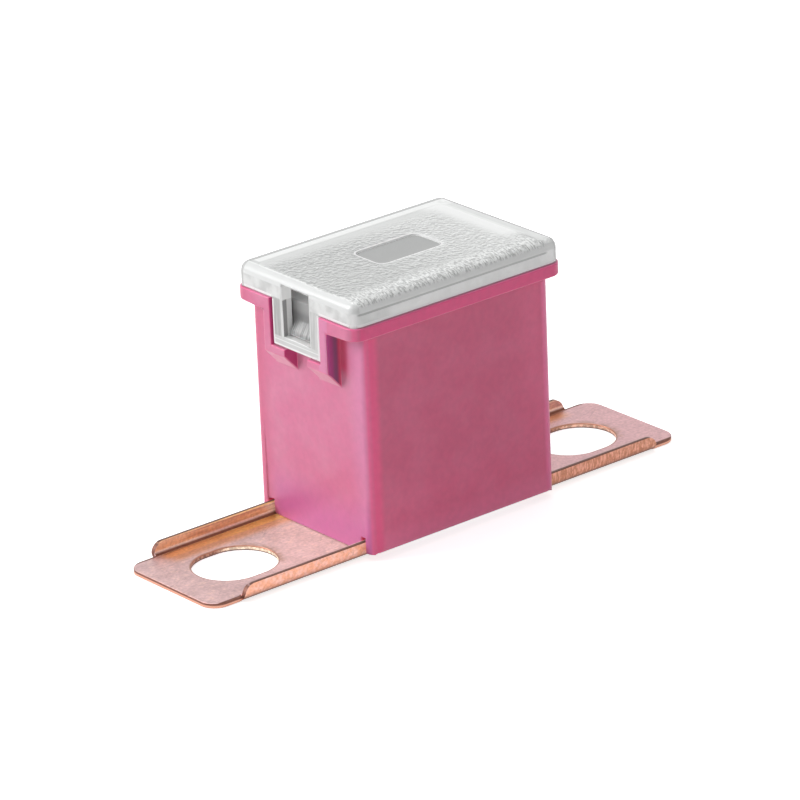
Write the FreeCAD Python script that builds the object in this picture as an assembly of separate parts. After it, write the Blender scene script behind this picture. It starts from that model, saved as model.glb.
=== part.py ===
import FreeCAD, Part
import math
import os

# Bolt-in cartridge fuse: one folded copper strip in a pink moulded housing with a clear latched cover.
# Millimetres. The origin is the centre of the strip's underside, +X runs along the strip, +Z is up.
V = FreeCAD.Vector

# Fuse element: a single stamped strip whose two ends are the bolt-down terminals
sheet = 0.35
bend_inner = 0.35
strip_width = 10.0
flange_height = 1.2
stud_pitch = 30.0
stud_slot_length = 6.0
stud_slot_width = 5.1
slot_to_end = 5.5
terminal_corner = 1.2
flange_to_end = 2.4
flange_corner = 0.85
tip_inset = 0.4

# Risers and fusible link inside the housing
riser_to_wall = 1.35
riser_to_side = 0.4
link_below_rim = 3.95
link_width = 1.4
link_row = 2.6
link_reach = 1.2
link_gap = 0.45
stop_width = 3.0
stop_height = 2.2
stop_reach = 0.75
slug_length = 1.6
slug_wall = 0.4

# Housing
body_length = 16.0
body_corner = 0.7
side_wall = 0.9
end_wall = 0.9
wall_bottom = 0.45
rim_top = 16.75
rim_height = 0.9
rim_side_reach = 0.25
rim_corner = 1.0
floor_top = 2.6
web_thickness = 0.9
web_below_slug = 2.55
relief_rise = 7.0
relief_in = 0.12
post_side = 0.9

# Cover
cover_height = 1.7
cover_plate = 0.55
cover_end_inset = 0.15
cover_side_inset = 0.15
cover_corner = 0.8
cover_edge = 0.7
skirt_wall = 0.85
lip_depth = 0.9
lip_wall = 0.7
pad_length = 5.4
pad_width = 3.0
pad_corner = 0.6
pad_depth = 0.1

# Snap latch at each end
tab_width = 4.9
tab_thickness = 0.85
tab_drop = 3.25
tab_gap = 0.1
window_width = 2.8
sill_height = 0.75
catch_side = 0.2
catch_height = 1.1
catch_reach = 0.5
guide_leg = 0.85
guide_gap = 0.1
guide_corner = 0.3
foot_height = 0.5
foot_slope = 1.2
foot_opening = 2.3

# Clearances between mating pieces
strip_clearance = 0.05
notch_headroom = 0.2
wall_clearance = 0.1
lip_clearance = 0.1
latch_clearance = 0.08
stop_clearance = 0.02
cutter_over = 1.0

# Places worked out from the sizes above
strip_half = stud_pitch / 2 + slot_to_end
strip_side = strip_width / 2
body_half = body_length / 2
side_half = strip_side + wall_clearance + post_side
cavity_half = body_half - end_wall
cavity_side = side_half - side_wall
flange_inside = strip_side - sheet
bend_outer = bend_inner + sheet
plate_half = strip_side - bend_outer
riser_outside = cavity_half - riser_to_wall
riser_inside = riser_outside - sheet
riser_width = 2 * (cavity_side - riser_to_side)
link_top = rim_top - link_below_rim
link_under = link_top - sheet
link_start = link_reach + (link_row + link_width) / 2 + link_gap
shoulder_end = riser_outside - bend_outer
web_top = link_under - slug_wall - web_below_slug
tab_inside = body_half + tab_gap
tab_bottom = rim_top - tab_drop
cover_half = tab_inside + tab_thickness
cover_length = 2 * cover_half
rim_length = cover_length + 2 * cover_end_inset
rim_width = 2 * (side_half + rim_side_reach)
cover_width = rim_width - 2 * cover_side_inset
cover_top = rim_top + cover_height
plate_under = cover_top - cover_plate
sill_top = tab_bottom + sill_height
catch_width = window_width - 2 * catch_side
guide_inside = tab_width / 2 + guide_gap
rim_under = rim_top - rim_height


def block(x0, x1, y0, y1, z0, z1):
    return Part.makeBox(x1 - x0, y1 - y0, z1 - z0, V(x0, y0, z0))


def centred(length, width, z0, z1):
    return block(-length / 2, length / 2, -width / 2, width / 2, z0, z1)


def upright_edges(shape):
    return [e for e in shape.Edges if abs(e.tangentAt(e.FirstParameter).z) > 0.999]


def rounded_block(length, width, z0, z1, corner):
    solid = centred(length, width, z0, z1)
    return solid.makeFillet(corner, upright_edges(solid))


def edges_at(shape, height):
    """Edges that lie wholly in one level."""
    return [e for e in shape.Edges
            if abs(e.BoundBox.ZMin - height) < 1e-4 and abs(e.BoundBox.ZMax - height) < 1e-4]


def prism_along_y(points, y0, y1):
    """Solid of an (x, z) outline between two places across the part."""
    corners = [V(x, y0, z) for x, z in points]
    outline = Part.makePolygon(corners + corners[:1])
    return Part.Face(outline).extrude(V(0, y1 - y0, 0))


def both_ends(solid):
    """The solid and its mirror image at the other end."""
    return [solid, solid.mirror(V(0, 0, 0), V(1, 0, 0))]


def slot_cutter(x, length, width, z0, z1):
    """Upright cutter with round ends, lying along the strip."""
    reach = (length - width) / 2
    middle = block(x - reach, x + reach, -width / 2, width / 2, z0, z1)
    ends = [Part.makeCylinder(width / 2, z1 - z0, V(x + s * reach, 0, z0)) for s in (-1, 1)]
    return middle.fuse(ends)


def channel_core(x0, x1, grow):
    """Inside of the strip's channel, left smaller all round by the given clearance."""
    top = 2 * flange_height
    core = block(x0, x1, -flange_inside + grow, flange_inside - grow, sheet + grow, top)
    lower = [e for e in edges_at(core, sheet + grow) if abs(e.tangentAt(0).x) > 0.999]
    return core.makeFillet(bend_inner - grow, lower)


def channel(x0, x1):
    """Stretch of the strip with both long edges folded up."""
    outer = block(x0, x1, -strip_side, strip_side, 0, 2 * flange_height)
    lower = [e for e in edges_at(outer, 0) if abs(e.tangentAt(0).x) > 0.999]
    outer = outer.makeFillet(bend_outer, lower)
    folded = outer.cut(channel_core(x0, x1, 0))
    return folded.cut(centred(3 * strip_half, 3 * strip_width, flange_height, 3 * flange_height))


def flange_end_cutter(x1):
    """Takes the square top corner off both flanges where they end."""
    x0 = x1 - flange_corner
    z0 = flange_height - flange_corner
    square = block(x0, x1 + sheet, -strip_width, strip_width, z0, flange_height + sheet)
    barrel = Part.makeCylinder(flange_corner, 2 * strip_width, V(x0, -strip_width, z0), V(0, 1, 0))
    return square.cut(barrel)


def terminal():
    """One bolt-down end: folded channel, flat tip a little narrower, and the stud slot."""
    flange_x0 = cavity_half + wall_clearance
    flange_x1 = strip_half - flange_to_end
    folded = channel(flange_x0, flange_x1).cut(flange_end_cutter(flange_x1))
    plate = block(riser_inside + bend_outer, flange_x1, -plate_half, plate_half, 0, sheet)
    tip_side = strip_side - tip_inset
    tip = block(flange_x1, strip_half, -tip_side, tip_side, 0, sheet)
    outer_corners = [e for e in upright_edges(tip) if abs(e.CenterOfMass.x - strip_half) < 1e-4]
    tip = tip.makeFillet(terminal_corner, outer_corners)
    solid = plate.fuse([folded, tip])
    cutter = slot_cutter(stud_pitch / 2, stud_slot_length, stud_slot_width, -sheet, 2 * sheet)
    return solid.cut(cutter).removeSplitter()


def foot_bend():
    """Quarter bend where the flat plate turns up into the riser."""
    centre = V(riser_inside + bend_outer, -riser_width / 2, bend_outer)
    outer = Part.makeCylinder(bend_outer, riser_width, centre, V(0, 1, 0))
    inner = Part.makeCylinder(bend_inner, riser_width, centre, V(0, 1, 0))
    corner = block(riser_inside, centre.x, -riser_width / 2, riser_width / 2, 0, bend_outer)
    return outer.cut(inner).common(corner)


def shoulder_bend():
    """Quarter bend where the riser turns in towards the link."""
    centre = V(shoulder_end, -riser_width / 2, link_top - bend_outer)
    outer = Part.makeCylinder(bend_outer, riser_width, centre, V(0, 1, 0))
    inner = Part.makeCylinder(bend_inner, riser_width, centre, V(0, 1, 0))
    corner = block(shoulder_end, riser_outside, -riser_width / 2, riser_width / 2, centre.z, link_top)
    return outer.cut(inner).common(corner)


def stop_tongue():
    """Lanced tongue that leans in and stands on the housing's floor block."""
    tip_z = floor_top + stop_clearance
    root_z = tip_z + stop_height
    slope = math.hypot(stop_reach, stop_height)
    shift = sheet * slope / stop_height
    outline = [(riser_inside, root_z), (riser_inside + sheet, root_z),
               (riser_inside - stop_reach + shift, tip_z), (riser_inside - stop_reach, tip_z)]
    return prism_along_y(outline, -stop_width / 2, stop_width / 2)


def riser():
    """Upright leg from the terminal to the link, with its lanced stop."""
    leg = block(riser_inside, riser_outside, -riser_width / 2, riser_width / 2,
                bend_outer, link_top - bend_outer)
    window_half = stop_width / 2 + sheet / 2
    lance_root = floor_top + stop_clearance + stop_height
    opening = block(riser_inside - cutter_over, riser_outside + cutter_over, -window_half, window_half,
                    floor_top - sheet, lance_root)
    return leg.cut(opening).fuse([foot_bend(), shoulder_bend(), stop_tongue()])


def shoulder():
    """Flat tapering plate from the riser's top towards the link."""
    half = riser_width / 2
    near = link_row + link_width / 2
    outline = [V(shoulder_end, -half, link_under), V(shoulder_end, half, link_under),
               V(link_start, near, link_under), V(link_start, -near, link_under)]
    return Part.Face(Part.makePolygon(outline + outline[:1])).extrude(V(0, 0, sheet))


def half_ring(side):
    """Half turn of the link that joins its middle row to the outer row on the given side."""
    x = side * link_reach
    y = side * link_row / 2
    outer = Part.makeCylinder((link_row + link_width) / 2, sheet, V(x, y, link_under))
    inner = Part.makeCylinder((link_row - link_width) / 2, sheet, V(x, y, link_under))
    span = side * 2 * link_row
    keep = block(min(x, x + span), max(x, x + span), y - abs(span), y + abs(span), link_under, link_top)
    return outer.cut(inner).common(keep)


def link():
    """Narrow S-shaped link between the shoulders, the stretch that melts."""
    half = link_width / 2
    rows = [block(-link_start, link_reach, link_row - half, link_row + half, link_under, link_top),
            block(-link_reach, link_reach, -half, half, link_under, link_top),
            block(-link_reach, link_start, -link_row - half, -link_row + half, link_under, link_top)]
    return rows[0].fuse(rows[1:] + [half_ring(1), half_ring(-1)])


def fuse_element():
    legs = []
    for part in (terminal(), riser(), shoulder()):
        legs += both_ends(part)
    return link().fuse(legs).removeSplitter()


def overload_slug():
    """Tin sleeve clinched round the middle of the link."""
    half_y = link_width / 2 + slug_wall
    sleeve = block(-slug_length / 2, slug_length / 2, -half_y, half_y,
                   link_under - slug_wall, link_top + slug_wall)
    long_edges = [e for e in sleeve.Edges if abs(e.tangentAt(0).x) > 0.999]
    sleeve = sleeve.makeFillet(0.75 * slug_wall, long_edges)
    passage = block(-slug_length, slug_length, -link_width / 2, link_width / 2, link_under, link_top)
    return sleeve.cut(passage)


def strip_notch():
    """Opening under each end wall that the folded strip fills."""
    outside = strip_side + wall_clearance
    head = flange_height + notch_headroom
    x0 = cavity_half - cutter_over
    x1 = body_half + cutter_over
    opening = block(x0, x1, -outside, outside, -cutter_over, head)
    return opening.cut(channel_core(x0, x1, strip_clearance))


def end_relief():
    """Shallow wedge that sets the end wall back between the corner posts."""
    y1 = strip_side + wall_clearance
    outline = [(body_half - relief_in, 0), (body_half + cutter_over, 0),
               (body_half + cutter_over, relief_rise), (body_half, relief_rise)]
    return prism_along_y(outline, -y1, y1)


def guide_bracket():
    """L-shaped guide beside the cover's tab, its foot sloping back to the wall."""
    outer = guide_inside + guide_leg
    root = body_half - end_wall / 2
    front = rim_length / 2
    foot_top = tab_bottom - latch_clearance
    foot_low = foot_top - foot_height
    slope_low = foot_low - foot_slope
    side = [(root, rim_top), (front, rim_top), (front, foot_low),
            (body_half, slope_low), (root, slope_low)]
    solid = prism_along_y(side, foot_opening / 2, outer)
    pocket = block(body_half, front + cutter_over, 0, guide_inside, foot_top, 2 * rim_top)
    solid = solid.cut(pocket)
    corner = [e for e in upright_edges(solid)
              if abs(e.CenterOfMass.y - outer) < 1e-4 and abs(e.CenterOfMass.x - front) < 1e-4]
    return solid.makeFillet(guide_corner, corner)


def catch():
    """Ramped nub that snaps into the window of the cover's tab."""
    root = body_half - end_wall / 2
    front = body_half + catch_reach
    low = sill_top + latch_clearance
    high = low + catch_height
    outline = [(root, low), (front, low), (front, low + catch_height / 4), (body_half, high), (root, high)]
    return prism_along_y(outline, -catch_width / 2, catch_width / 2)


def rim():
    flange = rounded_block(rim_length, rim_width, rim_under, rim_top, rim_corner)
    tab_space = block(body_half, rim_length, -guide_inside, guide_inside, 0, 2 * rim_top)
    return flange.cut(both_ends(tab_space))


def housing():
    body = rounded_block(body_length, 2 * side_half, wall_bottom, rim_top, body_corner)
    lower_end = block(cavity_half, body_half, -strip_side, strip_side,
                      sheet + strip_clearance, wall_bottom + sheet)
    body = body.fuse(both_ends(lower_end))
    body = body.fuse(rim())
    cavity = centred(2 * cavity_half, 2 * cavity_side, 0, 2 * rim_top)
    body = body.cut(cavity)
    block_half = riser_inside - wall_clearance
    floor = block(-block_half, block_half, -cavity_side, cavity_side, wall_bottom, floor_top)
    web = block(-web_thickness / 2, web_thickness / 2, -cavity_side, cavity_side, floor_top, web_top)
    body = body.fuse([floor, web])
    body = body.cut(both_ends(strip_notch()) + both_ends(end_relief()))
    guides = [guide_bracket(), guide_bracket().mirror(V(0, 0, 0), V(0, 1, 0))]
    for piece in guides + [catch()]:
        body = body.fuse(both_ends(piece))
    return body.removeSplitter()


def tab():
    """Latch tongue hanging from the cover's skirt."""
    half = tab_width / 2
    return block(tab_inside, cover_half, -half, half, tab_bottom, cover_top - cover_edge)


def tab_window():
    half = window_width / 2
    return block(body_half - end_wall, rim_length, -half, half, sill_top, plate_under)


def cover():
    shell = rounded_block(cover_length, cover_width, rim_top, cover_top, cover_corner)
    shell = shell.makeFillet(cover_edge, edges_at(shell, cover_top))
    inner_corner = cover_corner - skirt_wall / 2
    hollow = rounded_block(cover_length - 2 * skirt_wall, cover_width - 2 * skirt_wall,
                           0, plate_under, inner_corner)
    shell = shell.cut(hollow)
    lip_length = 2 * (cavity_half - lip_clearance)
    lip_width = 2 * (cavity_side - lip_clearance)
    lip = rounded_block(lip_length, lip_width, rim_top - lip_depth, plate_under, lip_wall / 2)
    lip = lip.cut(centred(lip_length - 2 * lip_wall, lip_width - 2 * lip_wall, 0, plate_under))
    shell = shell.fuse(lip)
    shell = shell.fuse(both_ends(tab()))
    shell = shell.cut(both_ends(tab_window()))
    pad = rounded_block(pad_length, pad_width, cover_top - pad_depth, cover_top + pad_depth,
                        pad_corner)
    return shell.cut(pad).removeSplitter()


pieces = {
    "housing": housing(),
    "cover": cover(),
    "fuse_element": fuse_element(),
    "overload_slug": overload_slug(),
}

os.makedirs("parts", exist_ok=True)
for name, shape in pieces.items():
    solid = shape.Solids[0] if len(shape.Solids) == 1 else shape
    print(name, "solids", len(shape.Solids), "valid", shape.isValid(), "volume", round(shape.Volume, 2))
    solid.exportStep("parts/" + name + ".step")
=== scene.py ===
"""Looks of a bolt-in cartridge fuse: copper strip, pink moulded housing, clear latched cover."""

import math

import bmesh
import bpy
from mathutils import Matrix, Vector


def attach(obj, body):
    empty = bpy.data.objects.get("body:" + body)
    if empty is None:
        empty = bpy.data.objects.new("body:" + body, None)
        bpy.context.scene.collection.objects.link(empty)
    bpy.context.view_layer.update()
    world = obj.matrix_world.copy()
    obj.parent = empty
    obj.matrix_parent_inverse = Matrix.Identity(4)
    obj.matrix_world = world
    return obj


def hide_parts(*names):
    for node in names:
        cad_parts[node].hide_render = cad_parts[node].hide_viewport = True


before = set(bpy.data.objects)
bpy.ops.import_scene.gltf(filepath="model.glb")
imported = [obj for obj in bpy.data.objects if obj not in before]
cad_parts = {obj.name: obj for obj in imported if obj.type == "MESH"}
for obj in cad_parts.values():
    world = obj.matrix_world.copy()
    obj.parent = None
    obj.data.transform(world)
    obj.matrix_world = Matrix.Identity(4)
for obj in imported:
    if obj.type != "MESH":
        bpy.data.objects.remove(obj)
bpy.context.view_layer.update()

MM = 0.001


# Fuse element. One strip of copper alloy sheet, stamped with its stud slots and folded:
# flanges up along both terminals, risers with stop tongues and the S-shaped link inside the
# housing. Its sheared edges are darker than the rolled faces, apart from a glint in the slots.
def extents(node_name):
    """Half length, half width, bottom and top of a CAD node in mm."""
    corners = [vertex.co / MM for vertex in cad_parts[node_name].data.vertices]
    heights = [corner.z for corner in corners]
    half_length = max(corner.x for corner in corners)
    half_width = max(corner.y for corner in corners)
    return [round(value, 3) for value in (half_length, half_width, min(heights), max(heights))]


def rounded_copy(node_name, radius_of, largest, segments):
    """Copy of a CAD node with its facets joined into faces and its sharp edges rounded.

    radius_of gives an edge's rounding in mm from its middle (mm) and its direction.
    """
    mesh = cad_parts[node_name].data.copy()
    mesh.materials.clear()
    shell = bmesh.new()
    shell.from_mesh(mesh)
    weld = 0.0002 * MM
    bmesh.ops.remove_doubles(shell, verts=shell.verts, dist=weld)
    flat_enough = math.radians(0.6)
    bmesh.ops.dissolve_limit(shell, angle_limit=flat_enough, verts=shell.verts, edges=shell.edges)
    weights = shell.edges.layers.float.new("bevel_weight_edge")
    sharp = math.radians(25)
    for face in shell.faces:
        face.smooth = True
    for edge in shell.edges:
        if len(edge.link_faces) == 2 and edge.calc_face_angle() > sharp:
            first, second = (vertex.co / MM for vertex in edge.verts)
            along = (second - first).normalized()
            edge[weights] = radius_of((first + second) / 2, along) / largest
    shell.to_mesh(mesh)
    shell.free()
    mesh.set_sharp_from_angle(angle=sharp)
    piece = bpy.data.objects.new(node_name + "_finish", mesh)
    bpy.context.scene.collection.objects.link(piece)
    rounding = piece.modifiers.new("edge rounding", "BEVEL")
    rounding.limit_method = "WEIGHT"
    rounding.width = largest * MM
    rounding.segments = segments
    rounding.use_clamp_overlap = False
    flats = piece.modifiers.new("flat faces stay flat", "WEIGHTED_NORMAL")
    flats.keep_sharp = True
    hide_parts(node_name)
    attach(piece, "root")
    return piece


def new_material(name):
    """A material's empty node tree, and the material."""
    material = bpy.data.materials.new(name)
    material.use_nodes = True
    material.node_tree.nodes.clear()
    return material.node_tree, material


def add(tree, kind, inputs=None, **settings):
    """New shader node; an input is a plain value or another node's socket."""
    made = tree.nodes.new("ShaderNode" + kind)
    for key, value in settings.items():
        setattr(made, key, value)
    for name, value in (inputs or {}).items():
        if isinstance(value, bpy.types.NodeSocket):
            tree.links.new(value, made.inputs[name])
        else:
            made.inputs[name].default_value = value
    return made


def calc(tree, operation, *values):
    """Math node's result."""
    return add(tree, "Math", dict(enumerate(values)), operation=operation).outputs[0]


def times(tree, *values):
    """Product of masks."""
    result = values[0]
    for value in values[1:]:
        result = calc(tree, "MULTIPLY", result, value)
    return result


def either(tree, *values):
    """Largest of some masks."""
    result = values[0]
    for value in values[1:]:
        result = calc(tree, "MAXIMUM", result, value)
    return result


def ease(tree, value, start, end, low=0.0, high=1.0):
    """Smooth step from low at start to high at end."""
    inputs = {"Value": value, "From Min": start, "From Max": end, "To Min": low, "To Max": high}
    return add(tree, "MapRange", inputs, interpolation_type="SMOOTHSTEP").outputs["Result"]


def band(tree, value, centre, half_width, softness):
    """Mask that is 1 within half_width of centre."""
    offset = calc(tree, "ABSOLUTE", calc(tree, "SUBTRACT", value, centre))
    return ease(tree, offset, half_width + softness, half_width - softness)


def blend(tree, factor, first, second):
    """Colour between two colours."""
    made = tree.nodes.new("ShaderNodeMix")
    made.data_type = "RGBA"
    for socket, value in ((made.inputs[0], factor), (made.inputs[6], first), (made.inputs[7], second)):
        if isinstance(value, bpy.types.NodeSocket):
            tree.links.new(value, socket)
        else:
            socket.default_value = value if isinstance(value, float) else (*value, 1)
    return made.outputs[2]


def tinted(tree, colour, brightness):
    """Colour times a brightness."""
    inputs = {"Color": colour if isinstance(colour, bpy.types.NodeSocket) else (*colour, 1),
              "Value": brightness}
    return add(tree, "HueSaturation", inputs).outputs[0]


def clouds(tree, position, scale, detail, roughness=0.5):
    """Noise around 0.5, in cells of about 1 / scale mm."""
    inputs = {"Vector": position, "Scale": scale, "Detail": detail, "Roughness": roughness}
    return add(tree, "TexNoise", inputs).outputs[0]


def node_group(name, inputs, outputs, build):
    """Shader node group of floats and vectors; build gives its outputs in order."""
    tree = bpy.data.node_groups.new(name, "ShaderNodeTree")
    for direction, sockets in (("INPUT", inputs), ("OUTPUT", outputs)):
        for label, kind in sockets:
            tree.interface.new_socket(label, in_out=direction, socket_type="NodeSocket" + kind)
    source = tree.nodes.new("NodeGroupInput")
    result = tree.nodes.new("NodeGroupOutput")
    for index, socket in enumerate(build(tree, source.outputs)):
        tree.links.new(socket, result.inputs[index])
    return tree


def from_group(tree, group, inputs):
    """First output of a node group."""
    return add(tree, "Group", inputs, node_tree=group).outputs[0]


def build_place(tree, _):
    where = add(tree, "TexCoord").outputs
    scaled = add(tree, "VectorMath", {0: where["Object"], "Scale": 1 / MM}, operation="SCALE").outputs[0]
    axes = add(tree, "SeparateXYZ", {0: scaled}).outputs
    facing = add(tree, "SeparateXYZ", {0: where["Normal"]}).outputs
    sizes = [calc(tree, "ABSOLUTE", facing[axis]) for axis in range(3)]
    ends = [calc(tree, "ABSOLUTE", axes[axis]) for axis in range(2)]
    roundness = calc(tree, "SUBTRACT", 1.0, either(tree, *sizes))
    return [scaled, *axes, *ends, sizes[0], sizes[1], facing[2], roundness]


place = node_group("place in mm", [], [
    ("Position", "Vector"), ("X", "Float"), ("Y", "Float"), ("Z", "Float"), ("End", "Float"),
    ("Side", "Float"), ("Facing X", "Float"), ("Facing Y", "Float"), ("Facing Z", "Float"),
    ("Roundness", "Float")], build_place)


def build_streaks(tree, given):
    stretched = add(tree, "VectorMath", {0: given["Position"], 1: given["Stretch"]}, operation="MULTIPLY")
    return [clouds(tree, stretched.outputs[0], 1.0, 4.0)]


streaks = node_group("streaks", [("Position", "Vector"), ("Stretch", "Vector")],
                     [("Value", "Float")], build_streaks)


def build_scratches(tree, given):
    lines = []
    for turn, stretch, seed in ((0.25, 0.35, 3.0), (-0.55, 0.22, 7.0), (1.2, 0.5, 11.0)):
        turned = add(tree, "Mapping", {0: given["Position"], "Rotation": (0.2, 0.1, turn),
                                       "Location": (seed, seed, seed)}).outputs[0]
        drawn = add(tree, "VectorMath", {0: turned, 1: (stretch, 3.0, 3.0)}, operation="MULTIPLY")
        level = calc(tree, "SUBTRACT", clouds(tree, drawn.outputs[0], 0.8, 1.0), 0.5)
        thin_line = ease(tree, calc(tree, "ABSOLUTE", level), 0.012, 0.002)
        here_and_there = ease(tree, clouds(tree, turned, 0.45, 0.0), 0.55, 0.68)
        lines.append(times(tree, thin_line, here_and_there))
    return [either(tree, *lines)]


scratches = node_group("scratches", [("Position", "Vector")], [("Value", "Float")], build_scratches)


def build_rounded_box(tree, given):
    outs = [calc(tree, "ADD", calc(tree, "SUBTRACT", given[label], given["Half " + label]), given["Corner"])
            for label in ("End", "Side")]
    positive = [calc(tree, "MAXIMUM", out, 0.0) for out in outs]
    outer = calc(tree, "SQRT", calc(tree, "ADD", times(tree, positive[0], positive[0]),
                                    times(tree, positive[1], positive[1])))
    inner = calc(tree, "MINIMUM", calc(tree, "MAXIMUM", outs[0], outs[1]), 0.0)
    return [calc(tree, "SUBTRACT", calc(tree, "ADD", outer, inner), given["Corner"])]


rounded_box = node_group("distance to rounded box", [
    ("End", "Float"), ("Side", "Float"), ("Half End", "Float"), ("Half Side", "Float"),
    ("Corner", "Float")], [("Distance", "Float")], build_rounded_box)

strip_end, strip_side, _, _ = extents("fuse_element")
rim_end, rim_side, _, rim_top = extents("housing")
body_end = rim_end - 1.1
sheet = 0.35
flange_height = 1.2
flange_end = strip_end - 2.4
flange_inside = strip_side - sheet
plate_side = strip_side - 0.7
slot_centre = strip_end - 5.5
slot_half_length = 3.0
slot_half_width = 2.55
slot_end = slot_centre + slot_half_length
shine_low = 0.09
shine_high = 0.27
tip_line = 0.20
strip_rounding = 0.05


def strip_radius(middle, along):
    end, side = abs(middle.x), abs(middle.y)
    inside_housing = end < body_end + 0.2
    at_flange_end = flange_end - 0.9 < end < flange_end + 0.1 and side > plate_side - 0.1
    return 0 if inside_housing or at_flange_end else strip_rounding


strip = rounded_copy("fuse_element", strip_radius, strip_rounding, 2)

tree, copper = new_material("strip_copper")
at = add(tree, "Group", node_tree=place).outputs
mottle = clouds(tree, at["Position"], 0.9, 3.0)
patch = clouds(tree, at["Position"], 2.2, 4.0)
grain = clouds(tree, at["Position"], 5.0, 3.0)
rolled_lines = from_group(tree, streaks, {"Position": at["Position"], "Stretch": (0.25, 5.0, 5.0)})
marks = from_group(tree, scratches, {"Position": at["Position"]})
slanted = add(tree, "Mapping", {0: at["Position"], "Rotation": (0.0, -0.8, 0.0),
                                "Scale": (10.0, 1.0, 2.6)}).outputs[0]
slanted_streaks = clouds(tree, slanted, 0.9, 3.0)
right_half = ease(tree, at["X"], 0.0, 1.0)

# The plates are pinkish and redder on the right. Towards their far bend they carry a painted reflection of
# the far flange, warm and then gold, and along the near bend a cooler painted shade.
plate = blend(tree, ease(tree, mottle, 0.35, 0.65), (0.60, 0.40, 0.395), (0.68, 0.465, 0.46))
plate = blend(tree, ease(tree, patch, 0.52, 0.72), plate, (0.74, 0.50, 0.46))
plate = blend(tree, times(tree, right_half, 0.6), plate, (0.61, 0.345, 0.37))
flat = times(tree, ease(tree, at["Facing Z"], 0.5, 0.9),
             ease(tree, at["End"], flange_end + 0.1, flange_end - 1.1))
from_middle = calc(tree, "SUBTRACT", at["Y"], times(tree, right_half, 0.6))
# Painted reflection of the far flange in the plate: a warm band, then gold next to the bend.
far_flange_reflection_warm = times(tree, flat, ease(tree, from_middle, plate_side - 1.9, plate_side - 1.0))
plate = blend(tree, far_flange_reflection_warm, plate, (0.62, 0.31, 0.19))
# Painted shade along the near bend.
near_bend_painted_shade = times(tree, flat, ease(tree, at["Y"], 1.5 - plate_side, 0.7 - plate_side))
plate = blend(tree, near_bend_painted_shade, plate, (0.52, 0.35, 0.35))
far_flange_reflection_gold = blend(tree, ease(tree, at["End"], flange_end - 1.1, body_end + 1.0),
             (0.80, 0.40, 0.19), (0.80, 0.46, 0.17))
far_flange_reflection_gold = blend(tree, right_half, far_flange_reflection_gold, (0.50, 0.25, 0.17))
gold_reflection_zone = times(tree, flat, ease(tree, from_middle, plate_side - 0.8, plate_side - 0.5))
plate = blend(tree, gold_reflection_zone, plate, far_flange_reflection_gold)

# A brown ring lies round each slot, and a brown patch beyond its right end.
along_slot = calc(tree, "SUBTRACT", at["X"], times(tree, calc(tree, "SIGN", at["X"]), slot_centre))
from_slot = from_group(tree, rounded_box, {
    "End": calc(tree, "ABSOLUTE", along_slot), "Side": at["Side"],
    "Half End": slot_half_length, "Half Side": slot_half_width, "Corner": slot_half_width})
ring = times(tree, ease(tree, at["Facing Z"], 0.3, 0.6), ease(tree, from_slot, 0.16, 0.05), 0.8)
brown_beyond_slot = times(tree, ease(tree, from_slot, 0.7, 0.0), ease(tree, along_slot, 1.9, 2.6),
              ease(tree, patch, 0.3, 0.6), 0.7)
plate = blend(tree, either(tree, ring, brown_beyond_slot), plate, (0.36, 0.20, 0.14))

# The flanges are more orange, with drawn lines inside, and darker with slanted streaks outside on the
# right.
on_outside = ease(tree, at["Side"], strip_side - 0.25, strip_side - 0.15)
outer_face = blend(tree, ease(tree, patch, 0.4, 0.65), (0.84, 0.42, 0.28), (0.90, 0.53, 0.44))
inner_face = blend(tree, ease(tree, rolled_lines, 0.38, 0.58), (0.66, 0.36, 0.22), (1.0, 0.68, 0.42))
flange = blend(tree, on_outside, inner_face, outer_face)
darker_streaked = blend(tree, ease(tree, slanted_streaks, 0.42, 0.60), (0.52, 0.235, 0.15), (0.75, 0.37, 0.27))
on_right = ease(tree, at["X"], body_end - 1.0, body_end)
flange = blend(tree, times(tree, on_right, on_outside), flange, darker_streaked)
on_flange = times(tree, ease(tree, at["Side"], strip_side - 0.5, strip_side - 0.2),
                  ease(tree, at["Facing Y"], 0.3, 0.8))
rolled = blend(tree, on_flange, plate, flange)

# Painted shade darkens the crease in the bend and the flanges' undersides.
painted_crease_shade = times(tree, band(tree, at["Side"], plate_side + 0.2, 0.10, 0.06),
               ease(tree, at["Facing Z"], 0.2, 0.5))
rolled = blend(tree, painted_crease_shade, rolled, (0.16, 0.06, 0.04))
rolled = tinted(tree, rolled, ease(tree, grain, 0.3, 0.7, 0.90, 1.10))
rolled = tinted(tree, rolled, ease(tree, rolled_lines, 0.3, 0.7, 0.95, 1.04))
rolled = tinted(tree, rolled, ease(tree, marks, 0.0, 1.0, 1.0, 0.8))
# Painted shade under the flanges' bends.
painted_underside_shade = times(tree, ease(tree, at["Facing Z"], -0.35, -0.7),
              ease(tree, at["Side"], plate_side, plate_side + 0.2))
rolled = blend(tree, painted_underside_shade, rolled, (0.26, 0.12, 0.08))

# Where the sheet's sheared edges lie
upright = ease(tree, calc(tree, "ABSOLUTE", at["Facing Z"]), 0.85, 0.6)
plate_edge = times(tree, upright, ease(tree, at["Z"], sheet + 0.07, sheet + 0.03),
                   ease(tree, at["Side"], flange_inside + 0.01, flange_inside - 0.03))
top_edge = times(tree, ease(tree, at["Z"], flange_height - 0.12, flange_height - 0.06),
                 ease(tree, at["Facing Z"], 0.4, 0.7),
                 ease(tree, at["Side"], flange_inside + 0.07, flange_inside + 0.15))
end_edge = times(tree, ease(tree, at["Facing X"], 0.3, 0.6),
                 ease(tree, at["Side"], flange_inside - 0.03, flange_inside + 0.01))
sheared = either(tree, plate_edge, top_edge, end_edge)
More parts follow.
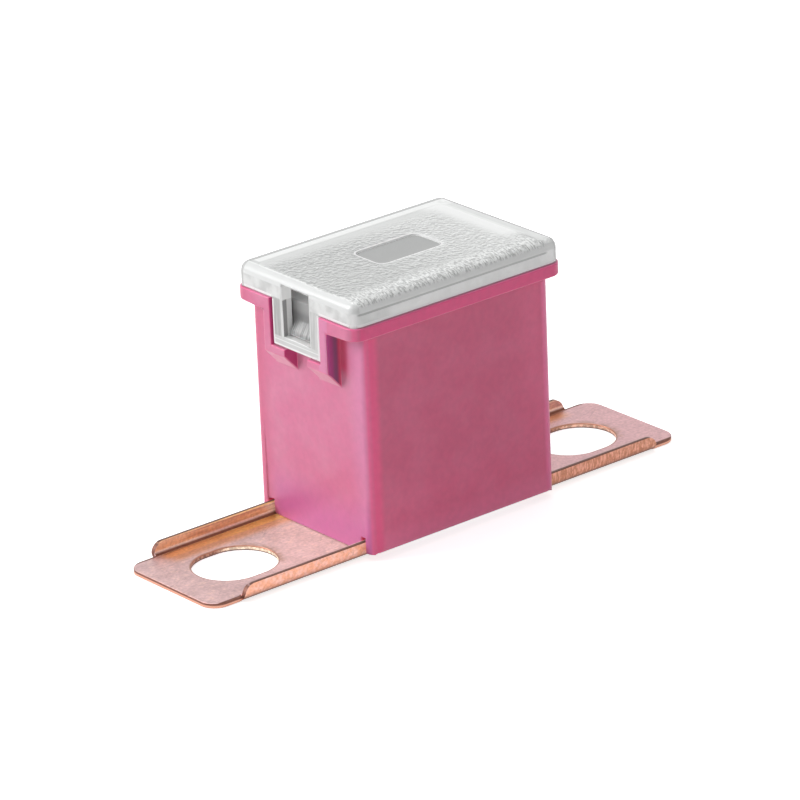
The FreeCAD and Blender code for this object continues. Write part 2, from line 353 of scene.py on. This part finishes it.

# The tips' edges are pale below and dark above. The slots' edges carry a painted glint between two dark
# lines, most at each slot's right end. The flanges' edges are dark.
tip_edge = blend(tree, ease(tree, at["Z"], tip_line - 0.04, tip_line + 0.04),
                 (0.72, 0.38, 0.28), (0.20, 0.09, 0.07))
# Painted glint on the slots' walls, brighter on the left terminal.
painted_slot_glint = blend(tree, right_half, (1.0, 0.80, 0.62), (0.80, 0.50, 0.38))
slot_light = blend(tree, ease(tree, along_slot, 0.3, 1.6), (0.42, 0.22, 0.16), painted_slot_glint)
slot_light = tinted(tree, slot_light, ease(tree, grain, 0.42, 0.58, 0.60, 1.1))
slot_shine = blend(tree, ease(tree, at["Z"], shine_high - 0.03, shine_high + 0.03),
                   slot_light, (0.40, 0.17, 0.11))
slot_edge = blend(tree, ease(tree, at["Z"], shine_low + 0.03, shine_low - 0.03),
                  slot_shine, (0.14, 0.08, 0.07))
in_slot = times(tree, ease(tree, at["Side"], slot_half_width + 0.15, slot_half_width + 0.05),
                ease(tree, at["End"], slot_end + 0.1, slot_end + 0.05))
edge_low = blend(tree, in_slot, tip_edge, slot_edge)
edge_colour = blend(tree, ease(tree, at["Z"], 0.5, 1.0), edge_low, (0.15, 0.075, 0.06))
colour = blend(tree, sheared, rolled, edge_colour)

roughness = calc(tree, "ADD", ease(tree, mottle, 0.3, 0.7, 0.34, 0.42), times(tree, sheared, 0.1))
relief = calc(tree, "SUBTRACT", times(tree, rolled_lines, 0.3), times(tree, marks, 0.5))
bump = add(tree, "Bump", {"Height": relief, "Strength": 0.25, "Distance": 0.01 * MM}).outputs[0]
shader = add(tree, "BsdfPrincipled", {"Base Color": colour, "Metallic": 1.0, "Roughness": roughness,
                                      "Normal": bump})
add(tree, "OutputMaterial", {"Surface": shader.outputs[0]})
strip.data.materials.append(copper)


# Overload slug. A small tin sleeve clinched round the middle of the link, which makes the
# link melt on a long overload. Cast and squeezed tin: dull, slightly dimpled.
slug_rounding = 0.04
slug = rounded_copy("overload_slug", lambda middle, along: slug_rounding, slug_rounding, 2)

tree, tin = new_material("slug_tin")
at = add(tree, "Group", node_tree=place).outputs
grain = clouds(tree, at["Position"], 4.0, 3.0)
colour = blend(tree, grain, (0.62, 0.62, 0.60), (0.80, 0.80, 0.78))
bump = add(tree, "Bump", {"Height": grain, "Strength": 0.4, "Distance": 0.03 * MM}).outputs[0]
shader = add(tree, "BsdfPrincipled", {"Base Color": colour, "Metallic": 1.0,
                                      "Roughness": ease(tree, grain, 0.3, 0.7, 0.4, 0.6), "Normal": bump})
add(tree, "OutputMaterial", {"Surface": shader.outputs[0]})
slug.data.materials.append(tin)


# Housing. One injection moulding in pink glass-filled nylon: box with a rim round the top,
# two L-shaped guides and a catch at each end, and posts that reach down beside the strip.
# Satin gloss from the mould, with faint flow marks; the edges are softened by the tool.
rim_under = rim_top - 0.9
body_side = rim_side - 0.25
cavity_end = body_end - 0.9
cavity_side = body_side - 0.9
relief_depth = 0.12
relief_top = 7.0
guide_inside = 2.55
guide_outside = guide_inside + 0.85
guide_low = 11.5
window_half_width = 1.4
pale_below = 14.4
lighter_above = 15.7
post_foot = 0.5
foot_rounding = 0.3
housing_rounding = 0.1


def housing_radius(middle, along):
    end, side = abs(middle.x), abs(middle.y)
    by_end = body_end - 0.4
    by_side = body_side - 0.1
    if end < by_end and side < by_side:
        return 0
    if middle.z < post_foot and (side > by_side or end > by_end):
        return foot_rounding if side > by_side else 0
    return housing_rounding


housing = rounded_copy("housing", housing_radius, foot_rounding, 3)

tree, pink = new_material("housing_plastic")
at = add(tree, "Group", node_tree=place).outputs
flow = clouds(tree, at["Position"], 0.35, 4.0, 0.6)
speck = clouds(tree, at["Position"], 2.2, 3.0)
fine = clouds(tree, at["Position"], 7.0, 2.0)
hairs = from_group(tree, streaks, {"Position": at["Position"], "Stretch": (1.0, 9.0, 0.8)})

# The end walls are redder on the far side and cooler near the near post, and low down they are cooler with
# painted light reflected up from the strip.
short_side = blend(tree, ease(tree, flow, 0.35, 0.7), (0.69, 0.175, 0.325), (0.70, 0.22, 0.365))
on_end = ease(tree, at["Facing X"], 0.5, 0.9)
far_zone = ease(tree, at["Y"], body_side - 2.2, body_side - 0.4)
short_side = blend(tree, far_zone, short_side, (0.66, 0.135, 0.26))
near_zone = times(tree, on_end, ease(tree, at["Y"], 2.4 - body_side, 0.8 - body_side),
                  ease(tree, at["Z"], rim_under - 0.05, rim_under - 0.85))
short_side = blend(tree, near_zone, short_side, (0.70, 0.22, 0.40))
# Painted light reflected up from the strip, low on the end walls.
low_bounce_light_paint = times(tree, on_end, ease(tree, at["Z"], 5.0, 1.2),
                 ease(tree, at["Y"], body_side - 0.8, body_side - 2.4))
short_side = blend(tree, low_bounce_light_paint, short_side, (0.63, 0.155, 0.39))
guide_front = times(tree, on_end, ease(tree, at["End"], rim_end - 0.1, rim_end - 0.05),
                    ease(tree, at["Y"], 0.15 - guide_inside, 0.05 - guide_inside),
                    ease(tree, at["Y"], -guide_outside - 0.1, -guide_outside))
short_side = blend(tree, guide_front, short_side, (0.71, 0.23, 0.41))

# The long walls are paler low down and on the right, with painted highlights along the bottom edge and both
# upright edges, and the rim is redder.
long_side = blend(tree, ease(tree, flow, 0.35, 0.7), (0.74, 0.12, 0.25), (0.77, 0.145, 0.285))
lower_right = either(tree, ease(tree, at["Z"], 8.0, 1.0), ease(tree, at["X"], 3.0, body_end))
long_side = tinted(tree, long_side, ease(tree, lower_right, 0.0, 1.0, 1.0, 1.13))
# Painted highlight along the rounded bottom edge.
long_side = blend(tree, ease(tree, at["Z"], 2.6, 0.5), long_side, (1.0, 0.225, 0.42))
below_rim = ease(tree, at["Z"], rim_under - 0.05, rim_under - 0.25)
left_edge_highlight = times(tree, ease(tree, at["X"], 1.2 - body_end, 0.6 - body_end), below_rim)
long_side = blend(tree, left_edge_highlight, long_side, (1.0, 0.125, 0.31))
right_edge_highlight = times(tree, ease(tree, at["X"], body_end - 0.95, body_end - 0.65), below_rim)
long_side = blend(tree, right_edge_highlight, long_side, (1.0, 0.20, 0.42))
on_rim = times(tree, ease(tree, at["Z"], rim_under - 0.05, rim_under + 0.01),
               ease(tree, at["Side"], body_side + 0.1, body_side + 0.2))
long_side = blend(tree, on_rim, long_side, (0.92, 0.105, 0.29))
colour = blend(tree, ease(tree, at["Facing Y"], 0.9, 0.5), long_side, short_side)

# Painted highlights make the rounded corners and the step of the end wall's relief brighter and redder.
by_guides = times(tree, ease(tree, at["Z"], guide_low, guide_low + 0.5),
                  ease(tree, at["Side"], guide_outside + 1.0, guide_outside + 0.2))
inner_corner = times(tree, by_guides, ease(tree, at["End"], body_end + 0.35, body_end + 0.25))
corner_highlight = times(tree, ease(tree, at["Roundness"], 0.05, 0.25), ease(tree, inner_corner, 1.0, 0.0))
corner_highlight_colour = blend(tree, ease(tree, at["X"], 0.0, 1.0), (0.90, 0.155, 0.34), (1.0, 0.20, 0.42))
colour = blend(tree, corner_highlight, colour, corner_highlight_colour)
relief_back = body_end - relief_depth
# Painted highlight on the step of the end wall's relief.
relief_step_highlight = times(tree, ease(tree, at["Side"], cavity_side + 0.5, cavity_side + 0.3),
                    ease(tree, at["End"], relief_back - 0.08, relief_back - 0.04),
                    ease(tree, at["Z"], relief_top + 0.2, relief_top),
                    ease(tree, at["Facing Y"], 0.3, 0.5))
colour = blend(tree, relief_step_highlight, colour, (0.86, 0.22, 0.36))

# Painted shade darkens the guides' flanks, a painted shadow of the guides darkens the corner behind them,
# and their undersides carry a pale painted light.
off_wall = ease(tree, at["End"], body_end + 0.05, body_end + 0.1)
guide_flank = times(tree, by_guides, off_wall, ease(tree, at["Facing Y"], 0.5, 0.8))
painted_flank_shade = blend(tree, ease(tree, at["End"], body_end + 0.8, body_end + 0.45),
              (0.44, 0.03, 0.22), (0.24, 0.05, 0.17))
painted_flank_shade = blend(tree, ease(tree, at["End"], body_end + 0.4, body_end + 0.1), painted_flank_shade, (0.66, 0.05, 0.15))
painted_flank_shade = blend(tree, ease(tree, at["Y"], 0.0, 1.0), painted_flank_shade, (0.60, 0.04, 0.20))
colour = blend(tree, guide_flank, colour, painted_flank_shade)
# Painted shadow cast by the guides on the wall beside them.
painted_guide_shadow = times(tree, ease(tree, at["Side"], guide_outside - 0.1, guide_outside),
                    ease(tree, at["Side"], guide_outside + 1.0, guide_outside + 0.3),
                    ease(tree, at["Z"], guide_low + 0.7, guide_low + 1.9),
                    ease(tree, at["End"], body_end + 0.12, body_end + 0.08),
                    ease(tree, at["Z"], rim_under + 0.15, rim_under - 0.05))
colour = blend(tree, painted_guide_shadow, colour, (0.66, 0.05, 0.15))
colour = tinted(tree, colour, ease(tree, speck, 0.3, 0.7, 0.97, 1.03))
# Pale painted light on the guides' undersides.
underside_painted_light = times(tree, by_guides, off_wall, ease(tree, at["Facing Z"], -0.1, -0.3))
colour = blend(tree, underside_painted_light, colour, (0.76, 0.175, 0.34))

# What shows through the clear cover is painted grey: the wall and the catch behind each window, and the
# inside of the box. Behind the windows the grey carries painted shade, a painted lit ramp on the catch and
# a pale painted sill, and the inside glows a little.
in_window = times(tree, ease(tree, at["Side"], window_half_width + 0.15, window_half_width + 0.1),
                  ease(tree, at["End"], cavity_end - 0.5, cavity_end - 0.4),
                  ease(tree, at["Z"], pale_below - 0.55, pale_below - 0.5))
above_wall = times(tree, ease(tree, at["Side"], guide_outside - 0.1, guide_outside - 0.2),
                   ease(tree, at["End"], body_end + 0.1, body_end + 0.06),
                   ease(tree, at["Z"], rim_under + 0.1, rim_under + 0.2))
ramp_light = times(tree, ease(tree, at["Z"], lighter_above, lighter_above - 1.0),
                   ease(tree, hairs, 0.38, 0.62))
shade = blend(tree, ease(tree, at["Z"], lighter_above, lighter_above + 0.5),
              (0.22, 0.22, 0.22), (0.32, 0.32, 0.32))
behind_cover = blend(tree, ramp_light, shade, (0.42, 0.42, 0.42))
at_sill = ease(tree, at["Z"], pale_below + 0.1, pale_below - 0.05)
behind_cover = blend(tree, at_sill, behind_cover, (0.75, 0.75, 0.75))
colour = blend(tree, either(tree, in_window, above_wall), colour, behind_cover)
# The inside is painted grey and glows a little.
inside = times(tree, ease(tree, at["End"], cavity_end, cavity_end - 0.1),
               ease(tree, at["Side"], cavity_side + 0.2, cavity_side + 0.1))
colour = blend(tree, inside, colour, (0.30, 0.28, 0.28))

# The housing is painted paler and glows for glossy rays only, so the strip mirrors it paler than it is, as
# its worn surface would: a painted reflection.
mirrored = add(tree, "LightPath").outputs["Is Glossy Ray"]
colour = blend(tree, mirrored, colour, (0.70, 0.60, 0.60))
relief = calc(tree, "ADD", times(tree, speck, 0.6), times(tree, fine, 0.3))
bump = add(tree, "Bump", {"Height": relief, "Strength": 0.2, "Distance": 0.02 * MM}).outputs[0]
shader = add(tree, "BsdfPrincipled", {
    "Base Color": colour, "Roughness": ease(tree, speck, 0.3, 0.7, 0.30, 0.38), "Normal": bump,
    "Subsurface Weight": 0.15, "Subsurface Radius": (1.0, 0.35, 0.45), "Subsurface Scale": 0.5 * MM,
    "Emission Color": (0.92, 0.86, 0.86, 1),
    "Emission Strength": calc(tree, "ADD", times(tree, mirrored, 0.40), times(tree, inside, 0.18))})
add(tree, "OutputMaterial", {"Surface": shader.outputs[0]})
housing.data.materials.append(pink)


# Cover. One moulding in clear plastic, latched over the catches for good. Its top is spark
# eroded to a fine leather grain round a smooth pad and inside a smooth border, and its thick
# edges gather the light, so that they look white round a grey field.
cover_end, cover_side, tab_bottom, cover_top = extents("cover")
bend_start = cover_top - 0.7
plate_under = cover_top - 0.55
skirt_inside = cover_end - 0.85
tab_half_width = 2.45
field_shift_x = 0.50
field_shift_y = 0.55
field_half_length = 8.0
field_half_width = 5.0
field_corner = 0.5
field_left = -field_shift_x - field_half_length
field_right = field_half_length - field_shift_x
field_near = -field_shift_y - field_half_width
field_far = field_half_width - field_shift_y
pad_half_length = 2.7
pad_half_width = 1.5
pad_corner = 0.6
pad_rounding = 0.04
cover_rounding = 0.1


def cover_radius(middle, along):
    end, side = abs(middle.x), abs(middle.y)
    if middle.z > cover_top - 0.15:
        return pad_rounding
    outside = end > cover_end - 0.05 or side > cover_side - 0.1
    return cover_rounding if outside else 0


cover = rounded_copy("cover", cover_radius, cover_rounding, 3)


def mixed(tree, factor, first, second):
    """Value between two values."""
    inputs = {0: factor, 2: first, 3: second}
    return add(tree, "Mix", inputs).outputs[0]


def build_leather(tree, given):
    bent = add(tree, "TexNoise", {"Vector": given["Position"], "Scale": 2.0, "Detail": 1.0}).outputs[1]
    moved = add(tree, "VectorMath", {0: bent, "Scale": 0.5}, operation="SCALE").outputs[0]
    warped = add(tree, "VectorMath", {0: given["Position"], 1: moved}, operation="ADD").outputs[0]
    drawn = add(tree, "Mapping", {0: warped, "Rotation": (0.0, 0.0, math.radians(-45)),
                                  "Scale": (1.4, 0.78, 1.0)}, vector_type="TEXTURE").outputs[0]
    cells = add(tree, "TexVoronoi", {"Vector": drawn, "Scale": 4.4}, feature="SMOOTH_F1").outputs[0]
    fine = clouds(tree, drawn, 6.0, 1.5)
    return [calc(tree, "ADD", times(tree, cells, 0.9), times(tree, fine, 0.6))]


leather = node_group("leather grain", [("Position", "Vector")], [("Height", "Float")], build_leather)

tree, clear = new_material("cover_plastic")
at = add(tree, "Group", node_tree=place).outputs
patches = clouds(tree, at["Position"], 0.8, 4.0)
dashes = from_group(tree, streaks, {"Position": at["Position"], "Stretch": (8.5, 2.6, 2.6)})
grooves = from_group(tree, streaks, {"Position": at["Position"], "Stretch": (2.0, 6.0, 0.5)})

# The top has a grained field, a smooth pad in it and a line round the pad. The rest is border.
along = calc(tree, "ABSOLUTE", calc(tree, "ADD", at["X"], field_shift_x))
across = calc(tree, "ABSOLUTE", calc(tree, "ADD", at["Y"], field_shift_y))
field_distance = from_group(tree, rounded_box, {
    "End": along, "Side": across,
    "Half End": field_half_length, "Half Side": field_half_width, "Corner": field_corner})
pad_distance = from_group(tree, rounded_box, {
    "End": at["End"], "Side": at["Side"],
    "Half End": pad_half_length, "Half Side": pad_half_width, "Corner": pad_corner})
on_top = times(tree, ease(tree, at["Z"], cover_top - 0.35, cover_top - 0.20),
               ease(tree, at["Facing Z"], 0.7, 0.9))
field = times(tree, on_top, ease(tree, field_distance, 0.12, -0.12), ease(tree, pad_distance, 0.0, 0.2))
pad = times(tree, on_top, ease(tree, pad_distance, 0.03, -0.03))
pad_line = times(tree, on_top, band(tree, pad_distance, 0.09, 0.08, 0.04))

# The grain's light and shade from one side are painted into its tone. It fades out towards the far side and
# the right end, and turns into rough dashes at the near edge.
height = from_group(tree, leather, {"Position": at["Position"]})
aside = add(tree, "VectorMath", {0: at["Position"], 1: (0.08, 0.09, 0.0)}, operation="ADD").outputs[0]
height_aside = from_group(tree, leather, {"Position": aside})
painted_grain_shading = calc(tree, "SUBTRACT", height, height_aside)
# Painted light and shade of the grain, as if lit from one side.
even_tone = ease(tree, painted_grain_shading, -0.16, 0.16, 0.46, 0.80)
even_tone = times(tree, even_tone, ease(tree, at["X"], field_left + 3.5, field_right - 0.5, 0.97, 1.21))
right_fade = times(tree, ease(tree, at["X"], field_right - 2.3, field_right - 0.5),
                   ease(tree, at["Y"], field_near + 0.95, field_near + 2.95))
fading = either(tree, ease(tree, at["Y"], field_far - 1.65, field_far - 0.05), right_fade)
even_tone = mixed(tree, fading, even_tone, mixed(tree, right_fade, 0.74, 0.96))
rough_tone = ease(tree, dashes, 0.42, 0.56, 0.55, 0.98)
at_edge = ease(tree, at["Y"], field_near + 1.75, field_near + 0.55)
field_tone = mixed(tree, at_edge, even_tone, rough_tone)

# The border is pale, greyer on the left, with blotches on the right and a thin grey line
# along the far edge.
border_edge = ease(tree, at["Y"], field_far - 0.65, field_far + 0.05, 0.80, 1.0)
blotches = times(tree, ease(tree, at["X"], field_right - 0.1, field_right + 0.3),
                 ease(tree, patches, 0.45, 0.6))
border_edge = mixed(tree, blotches, border_edge, 0.78)
at_left = ease(tree, at["X"], field_left + 0.5, field_left + 0.3)
border_edge = mixed(tree, at_left, border_edge, 0.70)
field_edge = mixed(tree, right_fade, 0.70, 0.96)
border_tone = mixed(tree, ease(tree, field_distance, 0.0, 0.4), field_edge, border_edge)
far_line = ease(tree, at["Y"], cover_side - 0.91, cover_side - 0.83)
border_tone = mixed(tree, far_line, border_tone, 0.54)
top_tone = mixed(tree, field, border_tone, field_tone)
top_tone = mixed(tree, pad, top_tone, 0.41)

# The near long bend carries on the rough dashes. The long skirts are darker on the left and
# just below the bend, and white at the right end.
long_bend = times(tree, ease(tree, at["Z"], bend_start - 0.01, bend_start + 0.03),
                  ease(tree, at["Facing X"], 0.5, 0.3), ease(tree, at["Facing Z"], 0.985, 0.97))
near_bend = times(tree, ease(tree, at["Z"], cover_top - 0.43, cover_top - 0.20),
                  ease(tree, at["Y"], 1.0, -1.0))
at_right = ease(tree, at["X"], field_right, field_right + 0.4)
bend_tone = mixed(tree, near_bend, 0.94, times(tree, rough_tone, 1.12))
bend_tone = mixed(tree, at_right, bend_tone, 1.0)
on_skirt = ease(tree, at["Z"], bend_start + 0.03, bend_start - 0.01)
long_tone = ease(tree, patches, 0.35, 0.65, 0.84, 0.97)
long_tone = mixed(tree, band(tree, at["Z"], bend_start - 0.09, 0.07, 0.04), long_tone, 0.48)
long_tone = times(tree, long_tone, ease(tree, at["X"], field_left + 4.0, field_left + 1.5, 1.0, 0.82))
long_tone = mixed(tree, at_right, long_tone, 1.0)

# The end skirts are greyer, and the tabs darker, with a pale frame round the window, a sill
# below it, and pale jambs with a dark groove.
end_tone = ease(tree, patches, 0.35, 0.65, 0.60, 0.78)
on_tab = times(tree, ease(tree, at["Side"], tab_half_width + 0.15, tab_half_width + 0.05),
               ease(tree, at["End"], cover_end - 0.1, cover_end - 0.05),
               ease(tree, at["Z"], rim_top + 0.2, rim_top + 0.05))
tab_tone = ease(tree, at["Y"], -0.5, 0.5, 0.58, 0.46)
tab_tone = times(tree, tab_tone, ease(tree, grooves, 0.35, 0.65, 0.88, 1.1))
tab_tone = mixed(tree, band(tree, at["Side"], window_half_width + 0.07, 0.06, 0.04), tab_tone, 0.72)
tab_tone = mixed(tree, ease(tree, at["Z"], tab_bottom + 0.8, tab_bottom + 0.7), tab_tone, 0.64)
tab_tone = mixed(tree, band(tree, at["Z"], tab_bottom + 0.5, 0.03, 0.03), tab_tone, 0.84)
end_tone = mixed(tree, on_tab, end_tone, tab_tone)
jamb = times(tree, ease(tree, at["Side"], window_half_width + 0.05, window_half_width + 0.02),
             ease(tree, at["End"], cover_end, cover_end - 0.05), ease(tree, at["Facing Y"], 0.5, 0.8))
groove = times(tree, ease(tree, at["End"], cover_end - 0.45, cover_end - 0.39),
               ease(tree, at["Z"], rim_top + 0.1, rim_top))
jamb_tone = ease(tree, at["Z"], rim_top, rim_top + 0.1, 0.74, 0.92)
jamb_tone = mixed(tree, groove, jamb_tone, 0.18)
wall_tone = mixed(tree, ease(tree, at["Facing X"], 0.3, 0.7), long_tone, end_tone)
wall_tone = mixed(tree, jamb, wall_tone, jamb_tone)
tone = mixed(tree, on_skirt, top_tone, wall_tone)
tone = mixed(tree, long_bend, tone, bend_tone)
colour = blend(tree, tone, (0.0, 0.0, 0.0), (0.985, 1.0, 0.99))

# Painted highlights lie where edges gather the light, and a painted dark outline lies where the clear
# plastic is seen at a grazing angle.
rim_line = times(tree, ease(tree, at["Z"], rim_top + 0.27, rim_top + 0.22),
                 ease(tree, at["Z"], rim_top - 0.05, rim_top),
                 ease(tree, at["Side"], tab_half_width - 0.05, tab_half_width + 0.05))
tab_edge = either(tree, ease(tree, at["Side"], tab_half_width - 0.25, tab_half_width - 0.15),
                  ease(tree, at["Z"], tab_bottom + 0.25, tab_bottom + 0.15))
tab_edge = times(tree, tab_edge, ease(tree, at["Z"], rim_top + 0.05, rim_top - 0.05))
corners = times(tree, ease(tree, at["Roundness"], 0.06, 0.25), ease(tree, long_bend, 1.0, 0.0))
# Painted highlights on the rim line, the tab's edges, the line round the pad and the rounded corners.
painted_edge_highlight = either(tree, rim_line, tab_edge, pad_line, corners)
colour = blend(tree, painted_edge_highlight, colour, (0.88, 0.88, 0.88))
end_bend = times(tree, ease(tree, at["Z"], bend_start - 0.05, bend_start + 0.05),
                 ease(tree, at["Facing X"], 0.2, 0.4))
colour = blend(tree, end_bend, colour, (0.74, 0.75, 0.745))
grazing = add(tree, "LayerWeight", {"Blend": 0.5}).outputs["Facing"]
upright_corner = times(tree, ease(tree, at["Roundness"], 0.03, 0.10), ease(tree, at["Facing Z"], 0.2, 0.1),
                       ease(tree, grazing, 0.45, 0.60))
far_left = times(tree, ease(tree, at["Y"], cover_side - 0.80, cover_side - 0.68), at_left, 0.8)
# Painted dark outline at grazing angles, on the upright corners and along the far left.
painted_dark_outline = either(tree, ease(tree, grazing, 0.66, 0.74), upright_corner, far_left)
colour = blend(tree, painted_dark_outline, colour, (0.42, 0.42, 0.42))

# The grain's relief lies where it shows. The long skirts and the inside give off a little
# light, in place of what clear plastic would pass on.
plain = calc(tree, "SUBTRACT", 1.0, fading)
grained = either(tree, times(tree, field, plain, ease(tree, pad_distance, 0.15, 0.5)),
                 times(tree, long_bend, near_bend))
bump = add(tree, "Bump", {"Height": times(tree, height, grained), "Strength": 0.7,
                          "Distance": 0.12 * MM}).outputs[0]
lit_skirt = times(tree, on_skirt, at["Facing Y"], 0.08)
lit_inside = times(tree, ease(tree, at["End"], skirt_inside - 0.02, skirt_inside - 0.06),
                   ease(tree, at["Z"], plate_under + 0.06, plate_under + 0.02),
                   ease(tree, at["Side"], cover_side - 0.7, cover_side - 0.8),
                   ease(tree, at["Side"], window_half_width + 0.3, window_half_width + 0.2, 0.16, 0.30))
shader = add(tree, "BsdfPrincipled", {
    "Base Color": colour, "Roughness": ease(tree, field, 0.0, 1.0, 0.24, 0.42), "Normal": bump,
    "Subsurface Weight": 0.3, "Subsurface Radius": (1.0, 1.0, 1.0), "Subsurface Scale": 0.4 * MM,
    "Emission Color": (1, 1, 1, 1), "Emission Strength": either(tree, lit_skirt, lit_inside)})
add(tree, "OutputMaterial", {"Surface": shader.outputs[0]})
cover.data.materials.append(clear)


# Studio. A white sweep that glows a little, a large soft lamp high on the left and a weaker
# one overhead, and white walls all round that the copper and the clear cover mirror.
floor_span = 4.0
floor_drop = 0.02
floor_glow_seen = 0.72
floor_glow_mirrored = 0.50
walls_seen = 1.0
walls_as_light = 0.34
lamp_aim = Vector((0.0, 0.0, 0.008))


def build_sweep():
    mesh = bpy.data.meshes.new("floor")
    corners = [(-floor_span, -floor_span, 0), (floor_span, -floor_span, 0),
               (floor_span, floor_span, 0), (-floor_span, floor_span, 0)]
    mesh.from_pydata(corners, [], [(0, 1, 2, 3)])
    return bpy.data.objects.new("floor", mesh)


floor = build_sweep()
floor.location.z = -floor_drop * MM
bpy.context.scene.collection.objects.link(floor)
tree, paper = new_material("floor_paper")
ray = add(tree, "LightPath").outputs
seen = calc(tree, "ADD", times(tree, ray["Is Camera Ray"], floor_glow_seen),
            times(tree, ray["Is Glossy Ray"], floor_glow_mirrored))
matt = add(tree, "BsdfDiffuse", {"Color": (0.82, 0.82, 0.82, 1)})
glow = add(tree, "Emission", {"Color": (1, 1, 1, 1), "Strength": seen})
both = add(tree, "AddShader", {0: matt.outputs[0], 1: glow.outputs[0]})
add(tree, "OutputMaterial", {"Surface": both.outputs[0]})
floor.data.materials.append(paper)

world = bpy.data.worlds.new("studio")
bpy.context.scene.world = world
world.use_nodes = True
tree = world.node_tree
tree.nodes.clear()
ray = add(tree, "LightPath").outputs
direct = either(tree, ray["Is Camera Ray"], ray["Is Glossy Ray"], ray["Is Transmission Ray"])
walls = add(tree, "Background", {"Color": (1, 1, 1, 1),
                                 "Strength": ease(tree, direct, 0.0, 1.0, walls_as_light, walls_seen)})
add(tree, "OutputWorld", {"Surface": walls.outputs[0]})


def softbox(name, where, size, power):
    """Square soft lamp at a place, turned to the part."""
    lamp = bpy.data.lights.new(name, "AREA")
    lamp.shape = "SQUARE"
    lamp.size = size
    lamp.energy = power
    stand = bpy.data.objects.new(name, lamp)
    bpy.context.scene.collection.objects.link(stand)
    stand.location = where
    stand.rotation_euler = (lamp_aim - Vector(where)).to_track_quat("-Z", "Y").to_euler()


softbox("key", where=(-0.30, 0.22, 0.24), size=0.20, power=1.25)
softbox("overhead", where=(0.0, 0.1, 0.45), size=0.30, power=0.6)

# Camera, from the left and above, far off with a long lens. Its place, direction, roll and
# lens were fitted to the edges in the photo.
camera_place = Vector((-228.28, -279.25, 153.17)) * MM
camera_azimuth = -39.218
camera_elevation = 21.978
camera_roll = 2.330
view = bpy.data.cameras.new("camera")
view.lens = 261.3
view.sensor_width = 36.0
view.clip_start = 0.01
view.clip_end = 20.0
camera = bpy.data.objects.new("camera", view)
bpy.context.scene.collection.objects.link(camera)
turn = Matrix.Rotation(math.radians(camera_azimuth), 4, "Z")
tilt = Matrix.Rotation(math.radians(90 - camera_elevation), 4, "X")
lean = Matrix.Rotation(math.radians(-camera_roll), 4, "Z")
camera.matrix_world = Matrix.Translation(camera_place) @ turn @ tilt @ lean
bpy.context.scene.camera = camera

bpy.context.scene.view_settings.view_transform = "Standard"
